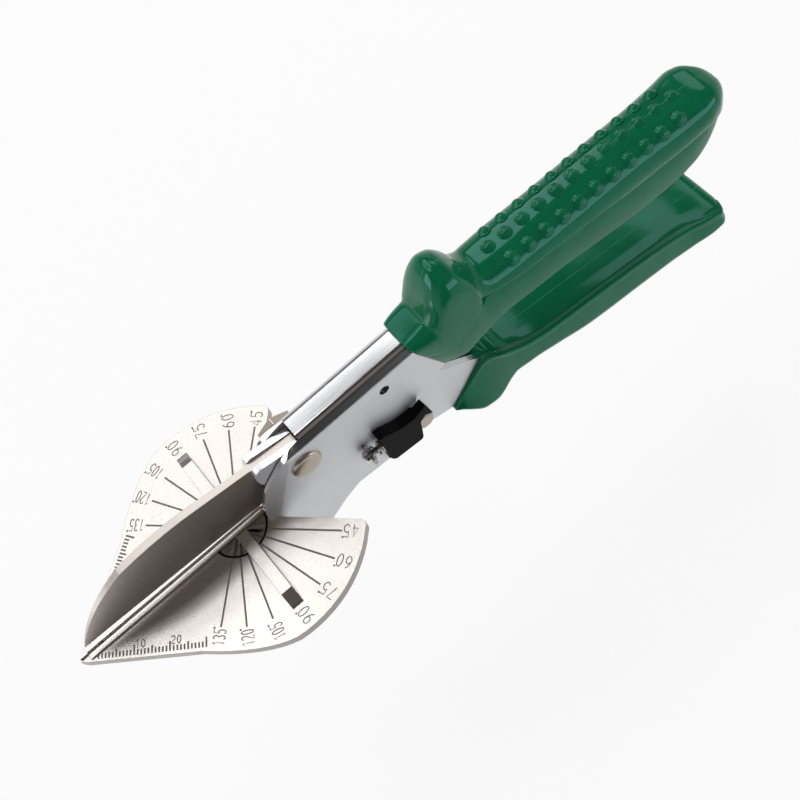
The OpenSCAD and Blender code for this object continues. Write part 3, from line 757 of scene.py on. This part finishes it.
DOME_SIDES = 20
DOME_PITCH = 5.66
DOME_CROWN = 1.1
dome_profile = [(2.3, -0.15), (2.05, 0.02), (1.8, 0.16), (1.55, 0.4), (1.25, 0.66), (0.9, 0.89),
                (0.45, 1.05)]
dome_rows = [(97, -6.0, 11), (94.6, 0, 12), (97, 5.0, 11)]
dome_places = [(first + DOME_PITCH * i, y) for first, y, count in dome_rows for i in range(count)]
dome_turns = [2 * math.pi * k / DOME_SIDES for k in range(DOME_SIDES)]
domes = bmesh.new()
for x, y in dome_places:
    lean_x = (bar_height(x + 0.5, y) - bar_height(x - 0.5, y))
    lean_y = (bar_height(x, y + 0.5) - bar_height(x, y - 0.5))
    out = Vector((-lean_x, -lean_y, 1)).normalized()
    side = out.cross(Vector((1, 0, 0))).normalized()
    ahead = side.cross(out)
    foot = at(x, y, bar_height(x, y))
    rings = []
    for radius, rise in dome_profile:
        rings.append([domes.verts.new(
            foot + (out * rise + radius * (ahead * math.cos(a) + side * math.sin(a))) * MM)
            for a in dome_turns])
    crown = domes.verts.new(foot + out * (DOME_CROWN * MM))
    for low, high in zip(rings, rings[1:]):
        for k in range(DOME_SIDES):
            domes.faces.new((low[k], low[(k + 1) % DOME_SIDES], high[(k + 1) % DOME_SIDES], high[k]))
    for k in range(DOME_SIDES):
        domes.faces.new((rings[-1][k], rings[-1][(k + 1) % DOME_SIDES], crown))
    domes.faces.new(rings[0][::-1])
bmesh.ops.recalc_face_normals(domes, faces=domes.faces)
for face in domes.faces:
    face.smooth = len(face.verts) < DOME_SIDES
grip_domes = keep_mesh("grip_domes", domes)
grip_domes.data.materials.append(finish_green)
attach(grip_domes, "jaw_lever")
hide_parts("upper_grip")
print(len(dome_places), "domes")

# %% [markdown]
# The lower grip: a finger lobe in front, then a long trough with a rounded rim along each edge, and
# a wide flat end. The rim could be a separate bead, but a seam would show in the gloss, so it is part
# of the section, with the wall set in below it. Each row holds the place along the tool, the upper and
# lower edge, the extra half widths above and below, and the radius of the belly.

# %% Lower grip
LOWER_HALF = 10.6
RIM_RADIUS = 0.9
TROUGH_DEPTH = 1.0
lower_table = [
    (66.4, -21.8, -22.9, -6, -6.1, 0.5), (68, -20.4, -23.8, -6.2, -5, 1.6),
    (70, -18.6, -26, -6.1, -3.6, 3.4), (74, -14.8, -29.4, -6, -2.2, 4.8),
    (78, -10.8, -29.9, -5.6, -2, 5), (80.6, -8, -28.6, -4.4, -2, 5),
    (83.4, -6.4, -24.8, -2.3, -1.5, 5), (87, -7.5, -21.4, -1.1, -0.8, 4.6),
    (92, -9.4, -21.3, -0.5, -0.2, 4.6), (100, -11, -23, -0.1, 0.3, 5),
    (112, -12.6, -26, 0, 0.8, 5.4), (126, -14.8, -28, 0, 0.8, 5.4),
    (140, -17, -29.4, 0.2, 0.9, 5), (150, -19.4, -30, 0.6, 1.4, 4.4),
    (157, -21.2, -29.8, 1.3, 2.1, 3.6), (160.6, -22.2, -29.3, 1.3, 2, 3),
    (162.6, -23, -28.6, -0.3, 0.3, 2.2), (163.7, -24.2, -27.4, -2.8, -2.9, 1.2)]


def lower_section(row):
    x, top, bottom, wide, narrow, belly = row
    wide += LOWER_HALF
    narrow += LOWER_HALF
    deep = TROUGH_DEPTH * ease(x, 82, 88) * (1 - ease(x, 150, 161))
    depth = top - bottom
    rim = min(RIM_RADIUS, 0.35 * depth)
    half = [(0, top - deep), (0.5 * (wide - 3.4), top - deep), (wide - 3.4, top - deep),
            (wide - 2.6, top - 0.75 * deep)]
    half += arc(wide - rim, top - rim, rim, 150, -40, 9)
    neck = wide - 0.45 * deep - 0.12
    half += [(neck, top - min(1.9, 0.4 * depth)), (neck, top - min(2.6, 0.5 * depth))]
    half += arc(narrow - belly, bottom + belly, belly, 0, -90, 9)
    half += [(0.4 * (narrow - belly), bottom)]
    return [(x, y, z) for y, z in half] + [(x, -y, z) for y, z in half[:0:-1]]


lower_rows = smooth_rows(lower_table, 0.8)
lower_grip = loft("lower_grip_moulding", [lower_section(r) for r in lower_rows])
lower_grip.data.materials.append(finish_green)
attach(lower_grip, "blade_lever")
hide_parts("lower_grip")
print("lower grip", len(lower_grip.data.vertices), "points")

# %% [markdown]
# Bolt and latch screw are turned on a lathe, so each is a profile swept round its own axis: a
# rounded edge on the bolt's head, and on the screw a pan head and fine ridges for its thread. A true
# helix would be too fine to tell apart. The screw's slot is sawn across the head, which a boolean cut
# does once, before the mesh is kept.

# %% Turned bolt
TURN_SIDES = 40


def turned(name, profile, centre, axis, finish, body, node):
    mesh = bmesh.new()
    angles = [2 * math.pi * k / TURN_SIDES for k in range(TURN_SIDES)]
    turns = [(math.cos(a), math.sin(a)) for a in angles]
    rings = []
    for along, radius in profile:
        ring = []
        for c, d in turns:
            spot = (along, radius * c, radius * d) if axis == "X" else (radius * c, along, radius * d)
            ring.append(mesh.verts.new(at(*(u + v for u, v in zip(centre, spot)))))
        rings.append(ring)
    for one, two in zip(rings, rings[1:]):
        for k in range(TURN_SIDES):
            j = (k + 1) % TURN_SIDES
            mesh.faces.new((one[k], one[j], two[j], two[k]))
    mesh.faces.new(rings[0][::-1])
    mesh.faces.new(rings[-1])
    bmesh.ops.recalc_face_normals(mesh, faces=mesh.faces)
    piece = keep_mesh(name, mesh)
    piece.data.materials.append(finish)
    piece.data.shade_smooth()
    piece.data.set_sharp_from_angle(angle=math.radians(40))
    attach(piece, body)
    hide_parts(node)
    return piece


bolt_profile = [(-6.6, 0.3), (-6.58, 2.0), (-6.52, 3.2), (-6.4, 3.75), (-6.2, 4.15), (-5.95, 4.38),
                (-5.7, 4.45), (-5.5, 4.45), (-5.5, 3.0), (8.9, 3.0), (9.3, 2.6), (9.3, 0.3)]
turned("turned_pivot_bolt", bolt_profile, (24.8, 0, 12.3), "Y", finish_fastener, "jaw_lever",
       "pivot_bolt")
print("bolt turned")

# %% Slotted screw
SCREW_SIDE = -8.0
SCREW_LEVEL = -2.2
SCREW_FACE = 36.8
SCREW_END = 49.5
THREAD_START = 39.5
THREAD_PITCH = 0.4
THREAD_RIDGES = 25
screw_profile = [(SCREW_FACE, 0.2), (36.82, 0.9), (36.95, 1.35), (37.2, 1.7), (37.55, 1.88),
                 (38.4, 1.9), (38.4, 1.0)]
for i in range(THREAD_RIDGES):
    ridge = THREAD_START + THREAD_PITCH * i
    screw_profile += [(ridge, 1.0), (ridge + THREAD_PITCH / 2, 0.84)]
screw_profile += [(SCREW_END, 0.7), (SCREW_END, 0.2)]
latch_screw = turned("slotted_latch_screw", screw_profile, (0, SCREW_SIDE, SCREW_LEVEL), "X",
                     finish_chrome, "jaw_lever", "latch_screw")
saw = bmesh.new()
bmesh.ops.create_cube(saw, size=1.0)
bmesh.ops.scale(saw, verts=saw.verts, vec=(1.4 * MM, 0.5 * MM, 5 * MM))
bmesh.ops.translate(saw, verts=saw.verts, vec=at(SCREW_FACE, SCREW_SIDE, SCREW_LEVEL))
saw_object = keep_mesh("slot_saw", saw)
cut = latch_screw.modifiers.new("slot", "BOOLEAN")
cut.object = saw_object
cut.solver = "EXACT"
sawn = bpy.data.meshes.new_from_object(latch_screw.evaluated_get(bpy.context.evaluated_depsgraph_get()))
latch_screw.modifiers.clear()
latch_screw.data = sawn
bpy.data.objects.remove(saw_object)
print(len(sawn.vertices), "points on the screw")

# %% [markdown]
# Both springs are wound from round wire: a helix whose end turns lie close together, as they do
# when the ends are ground flat. A screw modifier makes an even helix, but not the close end turns, so
# the points come from a formula. Each coil sits between two moving pieces, but here it is fixed to
# neither and stays where it is wound.

# %% Wound springs
TURN_STEPS = 28
WIRE_SIDES = 10
CLOSED_TURN = 0.6


def wound(name, axis, centre, start, stop, radius, turns, wire, finish):
    count = int(turns * TURN_STEPS)
    flat = CLOSED_TURN / turns
    mesh = bmesh.new()
    rings = []
    for i in range(count + 1):
        t = i / count
        lift = ease(t, flat, 1 - flat) * 0.5 + 0.5 * min(max((t - flat) / (1 - 2 * flat), 0), 1)
        along = start + wire / 2 + (stop - start - wire) * lift
        angle = 2 * math.pi * turns * t
        ring = []
        for k in range(WIRE_SIDES):
            a = 2 * math.pi * k / WIRE_SIDES
            r = radius + wire / 2 * math.cos(a)
            way = along + wire / 2 * math.sin(a)
            spot = (way, r * math.cos(angle), r * math.sin(angle)) if axis == "X" else (
                r * math.cos(angle), r * math.sin(angle), way)
            ring.append(mesh.verts.new(at(*(u + v for u, v in zip(centre, spot)))))
        rings.append(ring)
    for one, two in zip(rings, rings[1:]):
        for k in range(WIRE_SIDES):
            j = (k + 1) % WIRE_SIDES
            mesh.faces.new((one[k], one[j], two[j], two[k])).smooth = True
    mesh.faces.new(rings[0][::-1])
    mesh.faces.new(rings[-1])
    bmesh.ops.recalc_face_normals(mesh, faces=mesh.faces)
    piece = keep_mesh(name, mesh)
    piece.data.materials.append(finish)
    return piece


catch_coil = wound("wound_latch_spring", "X", (0, SCREW_SIDE, SCREW_LEVEL), 39.42, 42.98, 1.75, 3, 0.5,
                   finish_spring)
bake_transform(catch_coil)
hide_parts("latch_spring")
lever_coil = wound("wound_return_spring", "Z", (51, 0, 0), 4.72, 18.75, 2.5, 6, 0.8, finish_spring)
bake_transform(lever_coil)
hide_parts("return_spring")
print("two springs wound")

# %% [markdown]
# Each mould has two halves, and where they met a hair of plastic stands along the middle of the
# grip. It could be cut into the loft, but a curve with a round cross section, half sunk in the
# surface, follows any change of the grip by itself.

# %% Parting lines
def round_curve(name, paths, radius, finish, body, flatten=1.0):
    data = bpy.data.curves.new(name, "CURVE")
    data.dimensions = "3D"
    data.bevel_depth = radius * MM
    data.bevel_resolution = 2
    data.use_fill_caps = True
    for path in paths:
        line = data.splines.new("POLY")
        line.points.add(len(path) - 1)
        for point, p in zip(line.points, path):
            point.co = (p[0] * MM, p[1] * MM, p[2] * MM / flatten, 1)
    data.materials.append(finish)
    piece = add_object(name, data)
    piece.location = at(0, 0, 0)
    piece.scale = (1, 1, flatten)
    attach(piece, body)


FLASH_RADIUS = 0.09
upper_line = [upper_section(r)[0] for r in upper_rows if 62.4 < r[0] < 171]
lower_line = [(r[0], 0, lower_section(r)[0][2]) for r in lower_rows if 81 < r[0] < 164]
# Both lines wear the paler green, a painted highlight.
round_curve("upper_parting_line", [upper_line], FLASH_RADIUS, finish_flash_painted_highlight, "jaw_lever")
round_curve("lower_parting_line", [lower_line], FLASH_RADIUS, finish_flash_painted_highlight, "blade_lever")
print("two parting lines")

# %% [markdown]
# The protractor: lines every 15 degrees on both wings and a ruler along each tip edge. They are
# etched and darkened, with almost no depth. An image could carry them, but it would blur close up, so
# each is a curve pressed nearly flat on the plate.

# %% Angle lines and ruler
MARK_LIFT = 0.005
MARK_FLAT = 0.1
LINE_START = 8.6
RULER_LENGTH = 30
line_reach = {45: 29, 60: 29, 75: 29, 105: 27.6, 120: 27.3, 135: 26.7}
line_paths = []
for angle, reach in line_reach.items():
    for side in (-1, 1):
        a = math.radians(side * angle)
        line_paths.append([(r * math.cos(a), r * math.sin(a), MARK_LIFT) for r in (LINE_START, reach)])
tick_start = Vector((-48.98, -2.87))
tick_end = Vector((-24.8, -20.48))
tick_inward = Vector((0.56, 0.83)).normalized()
tick_paths = []
for mark in range(RULER_LENGTH + 1):
    length = 2.7 if mark % 10 == 0 else 2.1 if mark % 5 == 0 else 1.5
    outer = tick_start.lerp(tick_end, mark / RULER_LENGTH)
    inner = outer + length * tick_inward
    for side in (-1, 1):
        tick_paths.append([(p.x, -side * p.y, MARK_LIFT) for p in (outer, inner)])
round_curve("angle_lines", line_paths, 0.27, finish_mark, "jaw_lever", MARK_FLAT)
print(len(line_paths), "angle lines")

# %% [markdown]
# Round the centre lies a shallow pocket with thin ribs. A black curve along its edge is a painted shadow
# line, broken where the rails and fences cross it, and the worn crests of the ribs shine. Both are curves,
# as the lines are, because the solid's own edges are too straight to catch the light as the casting's do.

# %% Painted shadow line at the pocket edge, rib crests and ruler
POCKET_SHADOW_RADIUS = 8.1
POCKET_SHADOW_SPAN = 68
CREST_END = 7.7
pocket_shadow_paths = []
for start in (9, 103, 189, 283):
    pocket_shadow_paths.append([(POCKET_SHADOW_RADIUS * math.cos(a), POCKET_SHADOW_RADIUS * math.sin(a), MARK_LIFT)
                       for a in np.radians(np.linspace(start, start + POCKET_SHADOW_SPAN, 28))])
# Painted shadow: the dark line at the pocket's edge is a black curve, not a shade cast by the step.
round_curve("pocket_edge_painted_shadow", pocket_shadow_paths, 0.3, finish_black, "jaw_lever", 0.15)
crest_paths = []
for angle, inner, level in ((28, 4.4, -0.72), (45, 3.0, -0.1), (60, 4.6, -0.1)):
    for a in np.radians((angle, 180 - angle, 180 + angle, 360 - angle)):
        crest_paths.append([(r * math.cos(a), r * math.sin(a), level) for r in (inner, CREST_END)])
round_curve("pocket_crests", crest_paths, 0.28, finish_fastener, "jaw_lever")
round_curve("ruler_ticks", tick_paths, 0.26, finish_mark, "jaw_lever", MARK_FLAT)
print(len(pocket_shadow_paths), "pocket arcs,", len(crest_paths), "crests,", len(tick_paths), "ticks")

# %% [markdown]
# The numbers are single-stroke figures, as an engraving machine cuts them. Each is a few lines and
# arcs in a box half as wide as it is tall. A text object would need a font, whose strokes have two
# edges, so the strokes are drawn as they are cut.

# %% Single-stroke figures
def bow(cy, cz, ry, rz, start, stop, count=14):
    angles = np.radians(np.linspace(start, stop, count))
    return [(cy + ry * math.cos(a), cz + rz * math.sin(a)) for a in angles]


FIGURE_WIDTH = 0.5
six = [bow(0.25, 0.3, 0.22, 0.29, 0, 360, 20),
       [(0.03, 0.3), (0.06, 0.52), (0.16, 0.78), (0.34, 0.98)]]
figures = {
    "0": [bow(0.25, 0.5, 0.22, 0.49, 0, 360, 24)],
    "1": [[(0.1, 0.8), (0.3, 1.0), (0.3, 0.0)]],
    "2": [bow(0.25, 0.75, 0.21, 0.24, 165, -30) + [(0.03, 0.01), (0.48, 0.01)]],
    "3": [bow(0.24, 0.75, 0.2, 0.24, 150, -85) + bow(0.24, 0.27, 0.23, 0.26, 85, -150)],
    "4": [[(0.37, 0.0), (0.37, 1.0), (0.02, 0.28), (0.49, 0.28)]],
    "5": [[(0.45, 0.99), (0.09, 0.99), (0.06, 0.54)] + bow(0.24, 0.32, 0.23, 0.31, 125, -150)],
    "6": six,
    "7": [[(0.03, 0.99), (0.47, 0.99), (0.17, 0.0)]],
    "9": [[(FIGURE_WIDTH - y, 1.0 - z) for y, z in path] for path in six]}


def write(text, start, reading, tall, wide, pitch):
    upward = Vector((-reading.y, reading.x))
    paths = []
    for i, figure in enumerate(text):
        corner = start + reading * (i * pitch - wide / 2) - upward * (tall / 2)
        for path in figures[figure]:
            spots = [corner + reading * (p[0] / FIGURE_WIDTH * wide) + upward * (p[1] * tall) for p in path]
            paths.append([(s.x, s.y, MARK_LIFT) for s in spots])
    return paths


print(len(figures), "figures drawn")

# %% Numbers on the anvil
NUMBER_TALL = 3.4
DEGREE_RADIUS = 0.16
RULER_TALL = 2.1
RULER_WIDE = 1.1
RULER_PITCH = 1.6
number_paths = []
number_centre = {45: 31.4, 60: 31.7, 75: 31.9, 90: 31.8, 105: 31.2, 120: 30.1, 135: 29.4}
for angle, centre in number_centre.items():
    text = str(angle)
    pitch = 2.35 if len(text) == 2 else 1.5
    wide = 1.6 if len(text) == 2 else 1.1
    for side in (-1, 1):
        a = math.radians(side * angle)
        spoke = Vector((math.cos(a), math.sin(a)))
        reading = spoke * side
        first = spoke * centre - reading * (pitch * (len(text) - 1) / 2)
        number_paths += write(text, first, reading, NUMBER_TALL, wide, pitch)
        upward = Vector((-reading.y, reading.x))
        degree = first + reading * (pitch * (len(text) - 1) + 0.9) + upward * 1.75
        number_paths.append([(degree.x + DEGREE_RADIUS * math.cos(t),
                              degree.y + DEGREE_RADIUS * math.sin(t), MARK_LIFT)
                             for t in np.linspace(0, 2 * math.pi, 10)])
along = (tick_end - tick_start).normalized()
for mark in (0, 10, 20):
    base = tick_start.lerp(tick_end, mark / RULER_LENGTH) + 2.9 * tick_inward + 0.9 * along
    number_paths += write(str(mark), base, along, RULER_TALL, RULER_WIDE, RULER_PITCH)
    away = Vector((base.x, -base.y))
    reading = Vector((along.x, -along.y))
    number_paths += write(str(mark), away, reading, RULER_TALL, RULER_WIDE, RULER_PITCH)
round_curve("scale_numbers", number_paths, 0.16, finish_mark, "jaw_lever", MARK_FLAT)
print(len(number_paths), "strokes of figures")
